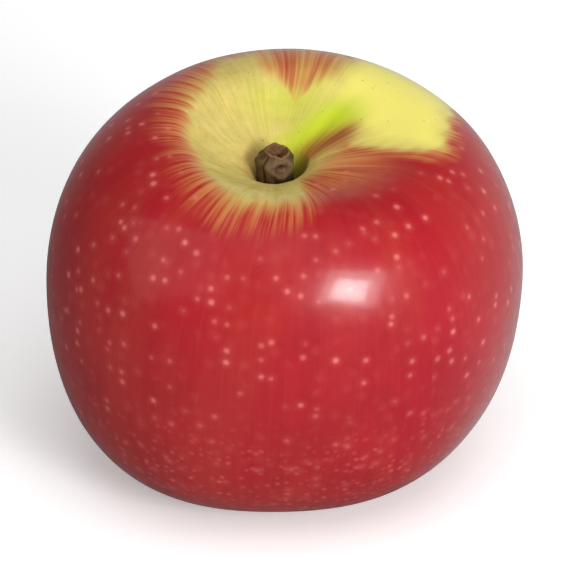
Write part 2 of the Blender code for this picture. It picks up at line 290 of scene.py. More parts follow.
def redDepthAt(radius, height, turn, out, f, m):
    # how far a point lies into the red, and how much the rays may move that edge:
    # the nearer of cavity edge and sun patch, then at least the blush behind and the tongue
    x, y = out * np.cos(turn), out * np.sin(turn)
    cavity = out - keyedRound(turn, redEdge)
    patch = -insideOutline(x, y, cutCorners(sunPatch, 2))
    patch = patch + m["patchWave"] * np.sin(0.7 * x + 0.9 * y)
    patch = patch + m["patchRipple"] * np.sin(2.1 * x - 1.7 * y + 1.0)
    b = backBlush
    halfTurn = b["halfTurn"] * smoothStep(b["tip"] - 3, b["middle"], out) + 0.1
    blush = np.minimum(3.0 * (1 - np.abs(turnGap(turn, b["turn"])) / halfTurn), b["most"])
    blush = np.minimum(blush, 0.55 * (out - b["tip"])) - 0.25 * np.maximum(0.0, out - b["fadeFrom"])
    depth = np.maximum(np.minimum(cavity, m["patchSlope"] * patch), blush)
    depth = np.maximum(depth, m["tongueWidth"] - nearStroke(x, y, redTongue))
    reach = np.where(patch < cavity, m["patchRays"], keyedRound(turn, rayLength))
    # round the eye the ground colour shows again
    base = radius * 1000 - m["eyeGround"] + 1.2 * np.cos(f["lobes"] * turn + 0.7)
    lower = height < 0.5 * f["cheekHeight"]
    depth = np.where(lower, np.maximum(base, -8.0), depth)
    return np.clip(depth, -12.0, 14.0), np.where(lower, m["eyeRays"], reach), patch


def skinAttributes(radius, height, turn, f, m):
    # redDepth and rayReach are in millimetres, and the rest are shares from 0 to 1.
    # grain runs round the axis, so streaks follow the meridians
    upper = height > f["cheekHeight"]
    lower = height < 0.5 * f["cheekHeight"]
    # out is the distance from the axis, and past the shoulder also counts the way down the flank
    wide = np.where(upper, radius, f["radius"])
    out = wide * 1000 + 700 * (f["height"] - height) * smoothStep(0.026, 0.033, wide)
    x, y = out * np.cos(turn), out * np.sin(turn)
    depth, reach, patch = redDepthAt(radius, height, turn, out, f, m)
    lime = smoothStep(m["limeWidth"], m["limeCore"], nearStroke(x, y, limeRun))
    lime = lime * (1 - 0.90 * smoothStep(*m["limeFade"], out))
    lime = np.maximum(lime, 0.45 * softSpot(turn, out, softSpots["lime"]))
    sunny = smoothStep(*m["sunnyEdge"], -patch) * smoothStep(*m["sunnyStart"], out)
    sunny = np.maximum(sunny, 0.5 * softSpot(turn, out, softSpots["sunny"]))
    russet = 0.8 * bump(f["lipRadius"] * 1000 + m["lipRusset"], m["lipRussetWidth"], out) * upper
    russet = np.maximum(russet, 0.7 * softSpot(turn, out, softSpots["russet"]) * upper)
    # painted shade in the stem cavity's depth, darkest on the right-hand wall that faces away from the window
    # light
    paintedCavityShade = 0.10 + 0.90 * bump(0.0, m["cavityShadeWidth"], turnGap(turn, m["cavityShadeTurn"]))
    swept = turn + np.radians(m["raySweep"] * (out - 12))
    # painted highlight halo: a bluer crimson round the window's reflection on the front right cheek
    paintedHighlightHalo = bump(0.0, m["highlightHaloWidth"], turnGap(turn, m["highlightHaloTurn"]))
    return {
        "redDepth": depth, "rayReach": reach, "lime": lime * upper, "sunny": sunny * upper,
        "low": 1 - smoothStep(0.10 * f["height"], 0.72 * f["height"], height),
        "russet": np.maximum(russet, smoothStep(0.0075, 0.0035, radius) * lower),
        "russetRays": softSpot(swept, out, softSpots["rays"]) * upper,
        "paintedHighlightHalo": paintedHighlightHalo * bump(m["highlightHaloHeight"], m["highlightHaloBand"], height),
        "brown": bump(0.0, m["brownWidth"], nearStroke(x, y, redTongue)) * upper,
        "paintedCavityShade": (1 - smoothStep(*m["cavityShadeEdge"], radius)) * upper * paintedCavityShade,
        "matt": (1 - smoothStep(*m["mattEnd"], out)) * upper,
        # painted light: lightens the dish right of the cavity, which faces away from the lamps
        "paintedDishLight": softSpot(turn, out, softSpots["dish"]) * upper,
        "grain": np.stack([np.cos(turn), np.sin(turn), out * 0.02 + 0 * turn], axis=-1),
    }


fineForm = {"pleat": 0.00013, "dent": 0.00016}


def unevenness(radius, height, turn, f, s):
    # low waves on the cheeks, pushed outwards, and radial pleats in the dish, pushed upwards
    side = smoothStep(0.018, 0.032, radius) * smoothStep(0.003, 0.016, height)
    outward = s["dent"] * side * (0.50 * np.cos(3 * turn + 55 * height + 0.6)
                                  + 0.35 * np.cos(7 * turn - 80 * height + 2.0)
                                  + 0.20 * np.cos(11 * turn + 130 * height))
    dish = bump(0.0125, 0.0050, radius) * (height > f["cheekHeight"])
    upward = s["pleat"] * dish * (0.5 * np.cos(5 * turn + 0.3) + 0.6 * np.cos(9 * turn + 0.8)
                                  + 0.4 * np.cos(14 * turn + 2.3) + 0.25 * np.cos(23 * turn))
    return np.stack([outward * np.cos(turn), outward * np.sin(turn), upward], axis=-1)


def makeSkin(f):
    # the meridian turned about the axis, with a vertex at the middle of the socket and of the eye
    meridian = fruitMeridian(f)
    inner = meridian[1:-1]
    turn = np.linspace(0.0, 2 * math.pi, f["columns"], endpoint=False)[None, :]
    radius, height = inner[:, 0][:, None], inner[:, 1][:, None]
    points = fruitPoints(radius, height, turn, f) + unevenness(radius, height, turn, f, fineForm)
    ends = fruitPoints(meridian[[0, -1], :1], meridian[[0, -1], 1:], np.zeros((1, 1)), f)
    attributes = skinAttributes(radius + 0 * turn, height + 0 * turn, turn + 0 * radius, f, mapSizes)
    poles = skinAttributes(meridian[[0, -1], 0], meridian[[0, -1], 1], np.zeros(2), f, mapSizes)
    vertices, quads, fans = closedRings(points, ends.reshape(-1, 3))
    joined = {key: np.concatenate([value.reshape((-1,) + value.shape[2:]), poles[key]])
              for key, value in attributes.items()}
    return vertices, quads, fans, joined


def addCoordinates(mesh, rows, columns):
    # u is the share of the turn and v the share of the way down the meridian
    u, v = np.meshgrid(np.arange(columns) / columns, np.linspace(0.02, 0.98, rows))
    u = np.concatenate([u.ravel(), [0.5, 0.5]])
    v = np.concatenate([v.ravel(), [0.0, 1.0]])
    corners = np.empty(len(mesh.loops), np.int32)
    mesh.loops.foreach_get("vertex_index", corners)
    starts = np.empty(len(mesh.polygons), np.int32)
    mesh.polygons.foreach_get("loop_start", starts)
    faceOf = np.searchsorted(starts, np.arange(len(corners)), side="right") - 1
    cornerU = u[corners]
    pole = corners >= rows * columns
    # the last column's faces close on the first column again, so their far side reads a whole turn
    nearSeam = np.zeros(len(starts))
    np.maximum.at(nearSeam, faceOf, np.where(pole, 0.0, cornerU))
    cornerU = np.where((cornerU == 0.0) & (nearSeam[faceOf] > 0.5) & ~pole, 1.0, cornerU)
    total = np.zeros(len(starts))
    np.add.at(total, faceOf, np.where(pole, 0.0, cornerU))
    cornerU = np.where(pole, total[faceOf] / 2, cornerU)
    layer = mesh.uv_layers.new(name="OFBake")
    layer.data.foreach_set("uv", np.stack([cornerU, v[corners]], axis=-1).astype(np.float32).ravel())


skinVertices, skinQuads, skinFans, skinLayers = makeSkin(fruitShape)
cadLow, cadHigh = (np.array(corner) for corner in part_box("fruit"))
middle = (skinVertices.min(axis=0) + skinVertices.max(axis=0)) / 2
toFrame = ((cadLow + cadHigh) / 2 - middle) * np.array([1.0, 1.0, 0.0])
apple = meshFrom("appleSkin", skinVertices + toFrame, skinQuads, skinFans, skinLayers)
addCoordinates(apple.data, (len(skinVertices) - 2) // fruitShape["columns"], fruitShape["columns"])
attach(apple, "root")
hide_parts("fruit")
print("skin:", len(skinQuads) * 2 + len(skinFans), "triangles")


stemShape = {
    "length": 0.0140, "socket": 0.0018, "gap": 0.0003,
    "footRadius": 0.0022, "bodyRadius": 0.0027, "knobRadius": 0.0030, "cutRadius": 0.0022, "cutAside": 0.0006,
    "swayX": -0.0019, "swayY": 0.0004, "swayCurve": 1.5,
    "swelling": 0.00090, "shoulder": 0.00030, "foldHeight": 0.00028, "pitDepth": 0.00045,
    "cutWave": 0.00012, "rimHeight": 0.00026, "dishDepth": 0.00050, "pithDepth": 0.00045, "torn": 0.00009,
    "furrow": 0.055, "rows": 150, "columns": 120, "cutRows": 25,
    "furrows": [  # waves round the stem, phase, how they wander as they climb, share of the depth
        (3, 0.4, 1.1, 0.5), (5, 2.1, -0.9, 0.8), (8, 4.0, 1.6, 0.65),
        (13, 1.2, -2.2, 0.45), (21, 3.0, 2.0, 0.22),
    ],
}


def makeStem(s, f):
    # radius along the stem: foot, waist, knob, then over the rim of the cut end to its middle;
    # round the axis it is furrowed by waves that wander as they climb
    foot = f["socketFloor"] + s["gap"]
    climb = np.linspace(0.0, 1.0, s["rows"])[:, None]
    turn = np.linspace(0.0, 2 * math.pi, s["columns"], endpoint=False)[None, :]
    body = s["bodyRadius"] - (s["bodyRadius"] - s["footRadius"]) * (1 - smoothStep(0.0, 0.5, climb))
    knob = (s["knobRadius"] - s["bodyRadius"]) * smoothStep(0.58, 0.88, climb)
    radius = body + knob - (s["knobRadius"] - s["cutRadius"]) * smoothStep(0.90, 1.0, climb)
    furrows = np.zeros((s["rows"], s["columns"]))
    for waves, phase, wander, share in s["furrows"]:
        furrows = furrows + share * np.cos(waves * turn + phase + wander * np.sin(2.6 * climb + phase))
    depth = s["furrow"] * smoothStep(0.06, 0.3, climb) * (1 - 0.80 * smoothStep(0.86, 1.0, climb))
    radius = radius * (1 + depth * furrows)
    # a swelling down the left side with a shoulder over it, and the scar of a bud in front
    radius = radius + s["swelling"] * bump(0, 62, turnGap(turn, 200)) * bump(0.60, 0.20, climb)
    radius = radius + s["shoulder"] * bump(0, 48, turnGap(turn, 190)) * bump(0.90, 0.10, climb)
    scarTurn = turnGap(turn, 288)
    pit = np.hypot(scarTurn / 30.0, (climb - 0.90) / 0.060)
    foldTurn = 40.0 - 110.0 * np.clip(0.90 - climb, 0.0, 0.2)
    fold = np.hypot(scarTurn / foldTurn, (climb - 0.87) / 0.120)
    radius = radius + s["foldHeight"] * bump(0.95, 0.34, fold) - s["pitDepth"] * bump(0.0, 0.65, pit)
    z = foot + s["length"] * climb + 0 * turn
    z = z + s["cutWave"] * smoothStep(0.9, 1.0, climb) * (np.cos(3 * turn + 0.5) + 0.6 * np.cos(7 * turn))
    aside = s["cutAside"] * smoothStep(0.86, 1.0, climb)
    wall = np.stack([radius * np.cos(turn) + aside, radius * np.sin(turn), z], axis=-1)
    # the cut end: the wall's top ring drawn in, with a raised rim, a torn dish and a small pith
    inward = np.linspace(1.0, 0.04, s["cutRows"] + 1)[1:, None]
    top = wall[-1]
    rim = s["rimHeight"] * bump(0.84, 0.10, inward) - s["dishDepth"] * (1 - smoothStep(0.1, 0.85, inward))
    rim = rim - s["pithDepth"] * bump(0.0, 0.22, inward)
    torn = s["torn"] * np.cos(9 * turn + 3 * inward) * bump(0.7, 0.3, inward)
    end = np.stack([s["cutAside"] + (top[None, :, 0] - s["cutAside"]) * inward, top[None, :, 1] * inward,
                    top[None, :, 2] * inward + (1 - inward) * top[:, 2].mean() + rim + torn], axis=-1)
    middleTop = np.array([[s["cutAside"], 0.0, end[-1, :, 2].mean()]])
    middleFoot = np.array([[0.0, 0.0, foot]])
    points = np.concatenate([wall, end])[::-1]
    sections = np.concatenate([points.reshape(-1, 3), middleTop, middleFoot])
    share = np.clip((sections[:, 2] - foot - s["socket"]) / (s["length"] - s["socket"]), 0.0, 1.0)
    bend = share ** s["swayCurve"]
    sections[:, 0] += s["swayX"] * bend
    sections[:, 1] += s["swayY"] * bend
    vertices = grow(sections, f)
    _, quads, fans = closedRings(points, vertices[-2:])

    def layer(onWall, onCut, atTop):
        # one value for each vertex, in the order of the vertices, with the two end points last
        rings = np.concatenate([onWall + 0 * climb + 0 * turn, onCut + 0 * inward + 0 * turn])[::-1]
        return np.append(rings.ravel(), [atTop, 0.0])

    climbed = layer(climb, 1.0, 1.0)
    around = [layer(wave, wave, 0.0) for wave in (np.cos(turn), np.sin(turn))]
    layers = {
        "climb": climbed, "cutEnd": layer(0.0, 1 - inward, 1.0),
        "grain": np.stack([*around, climbed], axis=-1),
        "scar": layer(bump(0.0, 0.7, pit), 0.0, 0.0), "scarLip": layer(bump(0.95, 0.36, fold), 0.0, 0.0),
    }
    return vertices, quads, fans, layers


stemVertices, stemQuads, stemFans, stemLayers = makeStem(stemShape, fruitShape)
stem = meshFrom("woodyStem", stemVertices + toFrame, stemQuads, stemFans, stemLayers)
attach(stem, "root")
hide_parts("stem")
print("stem:", len(stemQuads) * 2, "triangles")


leafletShape = {
    "count": 5, "length": 0.0062, "width": 0.0027, "thickness": 0.00045, "pinch": 0.0017, "gap": 0.0003,
    "ripple": 0.00012, "twist": 0.00025, "edgeWave": 0.00010, "rows": 40, "columns": 15,
}


def makeLeaflet(index, s, f):
    # a pointed strip that leans in over the eye and turns out at its tip, thin at its edges,
    # curled lengthwise by a sine, and closed into a shell by its two faces and their shared edge
    along = np.linspace(0.0, 1.0, s["rows"])[:, None]
    across = np.linspace(-0.5, 0.5, s["columns"])[None, :]
    rootRadius = f["eyeRadius"] + 0.3 * s["width"]
    rootZ = f["basinDepth"] - s["gap"] - s["thickness"]
    width = np.clip(1 - along**1.3, 0, 1) ** 0.8 * (1 - 0.35 * smoothStep(0.0, 0.6, along))
    width = s["width"] * (width + 0.08)
    side = across * width
    phase = 1.7 * index
    radius = rootRadius - s["pinch"] * np.sin(0.75 * math.pi * along)
    radius = radius - 0.9 * across**2 * width * (1 - 0.4 * along)
    radius = radius + s["ripple"] * np.sin(9 * along + phase) * smoothStep(0.1, 0.5, along)
    side = side + s["twist"] * np.sin(4.2 * along + phase) * smoothStep(0.1, 0.6, along)
    down = rootZ - s["length"] * along * (1 - 0.1 * along)
    down = down + s["edgeWave"] * np.cos(5 * across * math.pi + phase) * along
    thick = 0.25 + 0.75 * np.clip(1 - (2 * across) ** 2, 0, 1) ** 0.5
    thick = 0.5 * s["thickness"] * thick * (1 - 0.5 * along)
    outer = np.stack([radius + thick, side, down + 0 * across], axis=-1)
    inner = np.stack([radius - thick, side, down + 0 * across], axis=-1)[:, ::-1]
    rings = np.concatenate([outer, inner], axis=1)
    ends = np.stack([rings[0].mean(axis=0), rings[-1].mean(axis=0)])
    turn = 2 * math.pi * (index + 0.5) / s["count"]
    spun = np.array([[math.cos(turn), -math.sin(turn), 0], [math.sin(turn), math.cos(turn), 0], [0, 0, 1]])
    vertices, quads, fans = closedRings(rings, ends)
    lengthShare = np.append(np.repeat(along, 2 * s["columns"], axis=1).ravel(), [0.0, 1.0])
    return grow(vertices @ spun.T, f), quads, fans, {"along": lengthShare}


threadShape = {
    "count": 8, "length": 0.0056, "radius": 0.00022, "ring": 0.0012, "gap": 0.0003,
    "kink": 0.00010, "kinkTurn": 0.10, "rows": 40, "columns": 14,
}


def makeThread(index, s, f):
    # a fine tube along a bowed line, kinked by a sine, swelling into a withered anther at its tip
    along = np.linspace(0.0, 1.0, s["rows"])[:, None]
    around = np.linspace(0.0, 2 * math.pi, s["columns"], endpoint=False)[None, :]
    turn = 2 * math.pi * index / s["count"]
    reach = s["length"] * (1 - 0.12 * (index % 3))
    lineRadius = s["ring"] * (1 - 0.25 * np.sin(math.pi * along)) + s["kink"] * np.sin(7 * along + index)
    lineTurn = turn + s["kinkTurn"] * np.sin(5 * along + 2 * index)
    z = f["basinDepth"] + f["eyeDepth"] - s["gap"] - reach * along
    thick = s["radius"] * (0.62 - 0.12 * along + 0.5 * bump(0.93, 0.07, along))
    thick = thick * (1 + 0.10 * np.cos(3 * around + 9 * along))
    closing = np.sqrt(np.clip(1 - ((along - 0.5) / 0.5) ** 24, 0.0, 1.0))
    thick = thick * (0.15 + 0.85 * closing)
    centreX, centreY = lineRadius * np.cos(lineTurn), lineRadius * np.sin(lineTurn)
    rings = [centreX + thick * np.cos(around), centreY + thick * np.sin(around), z + 0 * around]
    rings = np.stack(rings, axis=-1)
    ends = np.stack([rings[0].mean(axis=0), rings[-1].mean(axis=0)])
    vertices, quads, fans = closedRings(rings, ends)
    lengthShare = np.append(np.repeat(along, s["columns"], axis=1).ravel(), [0.0, 1.0])
    return grow(vertices, f), quads, fans, {"along": lengthShare}


leaflets = []
for index in range(leafletShape["count"]):
    parts = makeLeaflet(index, leafletShape, fruitShape)
    leaflets.append(meshFrom(f"eyeLeaflet_{index + 1}", parts[0] + toFrame, *parts[1:]))
    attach(leaflets[-1], "root")
    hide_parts(f"sepal_{index + 1}")
threads = []
for index in range(threadShape["count"]):
    parts = makeThread(index, threadShape, fruitShape)
    threads.append(meshFrom(f"eyeThread_{index + 1}", parts[0] + toFrame, *parts[1:]))
    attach(threads[-1], "root")
    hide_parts(f"stamen_{index + 1}")
print("eye:", len(leaflets), "leaflets and", len(threads), "threads")


def hexColour(text):
    # screen colour as written in any picture editor, turned to the linear values shaders use
    shares = np.array([int(text[i:i + 2], 16) for i in (0, 2, 4)]) / 255
    linear = np.where(shares <= 0.04045, shares / 12.92, ((shares + 0.055) / 1.055) ** 2.4)
    return (*linear.tolist(), 1.0)


def withColours(finish):
    return {key: hexColour(value) if isinstance(value, str) else value for key, value in finish.items()}


def addNode(tree, kind, inputs=None, **settings):
    made = tree.nodes.new(kind)
    for key, value in settings.items():
        setattr(made, key, value)
    for key, value in (inputs or {}).items():
        if isinstance(value, bpy.types.NodeSocket):
            tree.links.new(value, made.inputs[key])
        else:
            made.inputs[key].default_value = value
    return made


def maths(tree, operation, first, second=0.0, third=0.0, clamp=False):
    return addNode(tree, "ShaderNodeMath", {0: first, 1: second, 2: third},
                   operation=operation, use_clamp=clamp).outputs[0]


def times(tree, first, second):
    return maths(tree, "MULTIPLY", first, second)


def plus(tree, first, second):
    return maths(tree, "ADD", first, second)


def spread(tree, value, low, high, outLow=0.0, outHigh=1.0, smooth=True):
    # maps low..high to outLow..outHigh, easing at both ends
    return addNode(tree, "ShaderNodeMapRange", {
        "Value": value, "From Min": low, "From Max": high, "To Min": outLow, "To Max": outHigh,
    }, interpolation_type="SMOOTHSTEP" if smooth else "LINEAR").outputs["Result"]


def mixColours(tree, share, first, second, blend="MIX"):
    return addNode(tree, "ShaderNodeMix", {0: share, 6: first, 7: second}, data_type="RGBA",
                   blend_type=blend).outputs[2]


def readLayer(tree, name, output="Fac"):
    return addNode(tree, "ShaderNodeAttribute", attribute_name=name).outputs[output]


def newGroup(name, inputs, outputs):
    # a group of shared nodes: inputs without a default are vectors, and the rest are numbers
    group = bpy.data.node_groups.new(name, "ShaderNodeTree")
    for label, value in inputs.items():
        kind = "NodeSocketVector" if value is None else "NodeSocketFloat"
        socket = group.interface.new_socket(label, in_out="INPUT", socket_type=kind)
        if value is not None:
            socket.default_value = value
    for label in outputs:
        group.interface.new_socket(label, in_out="OUTPUT", socket_type="NodeSocketFloat")
    return group, group.nodes.new("NodeGroupInput").outputs, group.nodes.new("NodeGroupOutput").inputs


def useGroup(tree, group, inputs):
    return addNode(tree, "ShaderNodeGroup", inputs, node_tree=group).outputs


def vectorMaths(tree, operation, first, second=(0.0, 0.0, 0.0), output=0):
    made = addNode(tree, "ShaderNodeVectorMath", {0: first, 1: second}, operation=operation)
    return made.outputs[output]


def evenNoise(group, vector, scale, detail, roughness):
    # noise spread over 0 to 1
    inputs = {"Vector": vector, "Scale": scale, "Detail": detail, "Roughness": roughness}
    noise = addNode(group, "ShaderNodeTexNoise", inputs).outputs["Fac"]
    return spread(group, noise, 0.28, 0.72, smooth=False)


def makeStreakGroup():
    # noise stretched along the grain: the grain vector turns round the piece in x and y and runs in z
    group, given, result = newGroup("lengthwiseStreaks", {
        "Grain": None, "Around": 16.0, "Along": 1.0, "Seed": 0.0, "Detail": 2.0}, ["Value"])
    around, along = given["Around"], given["Along"]
    stretch = addNode(group, "ShaderNodeCombineXYZ", {0: around, 1: around, 2: along})
    scaled = vectorMaths(group, "MULTIPLY", given["Grain"], stretch.outputs[0])
    seeded = addNode(group, "ShaderNodeCombineXYZ", {2: given["Seed"]})
    moved = vectorMaths(group, "ADD", scaled, seeded.outputs[0])
    group.links.new(evenNoise(group, moved, 1.0, given["Detail"], 0.55), result["Value"])
    return group


def makeMottleGroup():
    # soft uneven patches of a given size in metres
    group, given, result = newGroup("softMottle", {"Position": None, "Size": 0.004, "Detail": 3.0}, ["Value"])
    scale = maths(group, "DIVIDE", 1.0, given["Size"])
    group.links.new(evenNoise(group, given["Position"], scale, given["Detail"], 0.6), result["Value"])
    return group


def makeSurroundGroup():
    # brightness of the surroundings in reflections: dim in front and left, pale behind and right
    group, given, result = newGroup("surroundGlow", {"Direction": None, "Front": 0.4, "Back": 1.0}, ["Value"])
    unit = vectorMaths(group, "NORMALIZE", given["Direction"])
    facing = vectorMaths(group, "DOT_PRODUCT", unit, (0.7, 0.71, 0.0), "Value")
    group.links.new(spread(group, facing, -0.1, 0.95, given["Front"], given["Back"]), result["Value"])
    return group


def makeDotGroup():
    # one dot in some of the cells of a cellular pattern: spacing and radius in metres,
    # and the share of cells that hold a dot
    group, given, result = newGroup("scatteredDots", {
        "Position": None, "Spacing": 0.003, "Radius": 0.0003, "Softness": 0.0002, "Share": 0.5,
    }, ["Mask", "Halo"])
    scale = maths(group, "DIVIDE", 1.0, given["Spacing"])
    cells = addNode(group, "ShaderNodeTexVoronoi", {"Vector": given["Position"], "Scale": scale,
                                                    "Randomness": 0.78}, feature="F1")
    distance = times(group, cells.outputs["Distance"], given["Spacing"])
    luck = addNode(group, "ShaderNodeSeparateColor", {0: cells.outputs["Color"]}).outputs
    radius = times(group, given["Radius"], spread(group, luck[1], 0.0, 1.0, 0.55, 1.25, smooth=False))
    outer = plus(group, radius, given["Softness"])
    kept = maths(group, "LESS_THAN", luck[0], given["Share"])
    kept = times(group, kept, spread(group, luck[2], 0.0, 1.0, 0.45, 1.0, smooth=False))
    dot = spread(group, distance, radius, outer, 1.0, 0.0)
    halo = spread(group, distance, radius, times(group, outer, 2.2), 1.0, 0.0)
    group.links.new(times(group, dot, kept), result["Mask"])
    group.links.new(times(group, halo, kept), result["Halo"])
    return group


streakGroup = makeStreakGroup()
mottleGroup = makeMottleGroup()
dotGroup = makeDotGroup()
surroundGroup = makeSurroundGroup()


def streaks(tree, grain, around, along, seed, detail):
    return useGroup(tree, streakGroup, {"Grain": grain, "Around": around, "Along": along,
                                        "Seed": seed, "Detail": detail})["Value"]


def mottled(tree, position, size, detail):
    return useGroup(tree, mottleGroup, {"Position": position, "Size": size, "Detail": detail})["Value"]


def newMaterial(name):
    material = bpy.data.materials.new(name)
    material.use_nodes = True
    tree = material.node_tree
    return material, tree, tree.nodes["Principled BSDF"]


def addRelief(tree, shader, strength, distance, heights):
    relief = addNode(tree, "ShaderNodeBump", {"Strength": strength, "Distance": distance, "Height": heights})
    tree.links.new(relief.outputs[0], shader.inputs["Normal"])


skinFinish = {
    "straw": "dabf66", "olive": "ab9c3c", "lime": "cadb28", "sunYellow": "fcf078", "cream": "f0e09c",
    # b4162c is the bluer crimson of the painted highlight halo
    "russet": "b98a4e", "ray": "cc965a", "paintedHighlightHalo": "b4162c", "brown": "8a4c28", "paintedCavityShade": "5c4c16",
    # 5c4c16 is the dark olive of the painted shade in the stem cavity
    "orange": "cf8248", "scarlet": "b02826", "crimson": "ac1822", "deepRed": "8c0c16",
    "dot": "e87a74", "lowDot": "d8605a", "fleck": "7d7a2c", "baseGreen": "c3b45c",
    "coat": 0.5, "coatRoughness": 0.13, "ior": 1.38, "roughness": (0.28, 0.88),
    "reliefStrength": 0.35, "reliefDepth": 0.00005,
}
skinStreaks = {  # how many round the fruit, how many down it, seed, detail
    "wide": (5.0, 1.4, 3.0, 2.0), "middle": (15.0, 1.0, 11.0, 2.0), "fine": (38.0, 1.6, 29.0, 3.0),
    "hair": (95.0, 3.0, 47.0, 2.0), "rays": (11.0, 0.6, 61.0, 3.0),
}
skinDots = {  # in metres
    "large": {"Spacing": 0.0025, "Radius": 0.00012, "Softness": 0.00066, "Share": 0.56},
    "small": {"Spacing": 0.0016, "Radius": 0.00010, "Softness": 0.00062, "Share": 0.85},
    "fleck": {"Spacing": 0.0021, "Radius": 0.00006, "Softness": 0.00022, "Share": 0.6},
}


def makeSkinFinish(finish):
    c = withColours(finish)
    material, tree, shader = newMaterial("redAppleSkin")
    position = addNode(tree, "ShaderNodeTexCoord").outputs["Object"]
    grain = readLayer(tree, "grain", "Vector")
    depth, reach = readLayer(tree, "redDepth"), readLayer(tree, "rayReach")
    lime, sunny, low, russetShare = (readLayer(tree, name) for name in ("lime", "sunny", "low", "russet"))
    wide, middle, fine, hair, rayNoise = (streaks(tree, grain, *sizes) for sizes in skinStreaks.values())
    mottle, cloud = mottled(tree, position, 0.0022, 4.0), mottled(tree, position, 0.016, 2.0)

    # where the yellow rays cut into the red: middle and fine streaks push its edge in and out
    push = plus(tree, times(tree, middle, 0.82), times(tree, fine, 0.18))
    pushed = times(tree, maths(tree, "SUBTRACT", push, 0.32), reach)
    pushed = maths(tree, "SUBTRACT", depth, pushed)
    redShare = spread(tree, pushed, -2.8, 2.6)
    warmShare = spread(tree, pushed, -4.0, 0.4)
    deepShare = spread(tree, pushed, 0.6, 8.0)

    # ground colour under the blush
    tint = plus(tree, times(tree, middle, 0.30), times(tree, mottle, 0.60))
    ground = mixColours(tree, tint, c["straw"], c["olive"])
    ground = mixColours(tree, times(tree, hair, 0.42), ground, c["cream"])
    ground = mixColours(tree, sunny, ground, c["sunYellow"])
    ground = mixColours(tree, times(tree, lime, 0.95), ground, c["lime"])
    ground = mixColours(tree, times(tree, low, 0.8), ground, c["baseGreen"])
    russetMask = times(tree, russetShare, spread(tree, plus(tree, mottle, hair), 0.5, 1.3))
    ground = mixColours(tree, times(tree, russetMask, 0.7), ground, c["russet"])

    # blush: scarlet streaks over crimson, deeper away from its edge, with a painted highlight halo and
    # painted light on the dish mixed in
    red = mixColours(tree, spread(tree, wide, 0.1, 0.9), c["scarlet"], c["crimson"])
    for share, most, colour in (
        # the first entry paints the highlight halo, a bluer crimson round the window's reflection
        (readLayer(tree, "paintedHighlightHalo"), 0.7, "paintedHighlightHalo"), (spread(tree, fine, 0.35, 0.95), 0.12, "deepRed"),
        (spread(tree, hair, 0.45, 1.0), 0.03, "orange"), (spread(tree, cloud, 0.3, 0.9), 0.22, "deepRed"),
        # painted light: orange lightens the dish right of the cavity
        (readLayer(tree, "paintedDishLight"), 0.60, "orange"),
    ):
        red = mixColours(tree, times(tree, share, most), red, c[colour])
    edgeRed = mixColours(tree, spread(tree, fine, 0.2, 0.8), c["orange"], c["scarlet"])
    red = mixColours(tree, deepShare, edgeRed, red)

    warmth = times(tree, warmShare, spread(tree, fine, 0.1, 0.9, 0.25, 0.75))
    plain = maths(tree, "MAXIMUM", lime, sunny)
    warmth = times(tree, warmth, maths(tree, "SUBTRACT", 1.0, plain, clamp=True))
    skin = mixColours(tree, warmth, ground, c["orange"])
    skin = mixColours(tree, redShare, skin, red)
    rayMask = times(tree, readLayer(tree, "russetRays"), spread(tree, rayNoise, 0.34, 0.70))
    skin = mixColours(tree, times(tree, rayMask, 0.85), skin, c["ray"])
    brownMask = times(tree, readLayer(tree, "brown"), spread(tree, fine, 0.0, 0.8, 0.55, 0.9))
    skin = mixColours(tree, brownMask, skin, c["brown"])
    # painted shade: dark olive laid into the depth of the stem cavity
    skin = mixColours(tree, times(tree, readLayer(tree, "paintedCavityShade"), 0.85), skin, c["paintedCavityShade"])

    # pale dots, few and large on the shoulder, many and small towards the base
    large, small, fleck = (useGroup(tree, dotGroup, {"Position": position, **skinDots[kind]})
                           for kind in ("large", "small", "fleck"))
    largeMask = times(tree, large["Mask"], spread(tree, low, 0.0, 0.9, 1.0, 0.25))
    smallMask = times(tree, small["Mask"], spread(tree, low, 0.15, 0.85, 0.0, 0.8))
    dots = times(tree, largeMask, spread(tree, depth, 1.0, 5.0))
    skin = mixColours(tree, times(tree, large["Halo"], times(tree, redShare, 0.14)), skin, c["dot"])
    fleckMask = times(tree, fleck["Mask"], maths(tree, "SUBTRACT", 0.75, redShare, clamp=True))
    skin = mixColours(tree, fleckMask, skin, c["fleck"])
    skin = mixColours(tree, times(tree, smallMask, 0.8), skin, c["lowDot"])
    skin = mixColours(tree, times(tree, dots, 0.8), skin, c["dot"])
    tree.links.new(skin, shader.inputs["Base Color"])

    # the cavity and the russet are dull, the rest shines under a thin wax coat
    dull = maths(tree, "MAXIMUM", times(tree, russetMask, 0.9), readLayer(tree, "matt"))
    rough = plus(tree, times(tree, dull, 0.8), times(tree, mottle, 0.2))
    rough = spread(tree, rough, 0.0, 1.0, *c["roughness"], smooth=False)
    tree.links.new(rough, shader.inputs["Roughness"])
    tree.links.new(spread(tree, dull, 0.0, 1.0, c["coat"], 0.0), shader.inputs["Coat Weight"])
    shader.inputs["Coat Roughness"].default_value = c["coatRoughness"]
    shader.inputs["IOR"].default_value = c["ior"]
    heights = plus(tree, times(tree, mottle, 0.25), times(tree, fine, 0.35))
    heights = maths(tree, "SUBTRACT", heights, times(tree, largeMask, 0.5))
    addRelief(tree, shader, c["reliefStrength"], c["reliefDepth"], heights)
    return material


apple.data.materials.append(makeSkinFinish(skinFinish))


stemFinish = {
    "bark": "6c4c28", "barkDark": "2c1c0c", "olive": "645220", "cutRim": "93683c", "cutWood": "6e4a26",
    "scarPale": "766040", "scarDark": "3c2008",
    "fibres": (7.0, 2.0, 5.0, 4.0), "hairs": (22.0, 4.0, 9.0, 3.0), "mottle": (0.0012, 4.0),
    "roughness": (0.85, 0.62), "reliefStrength": 0.7, "reliefDepth": 0.00012,
}


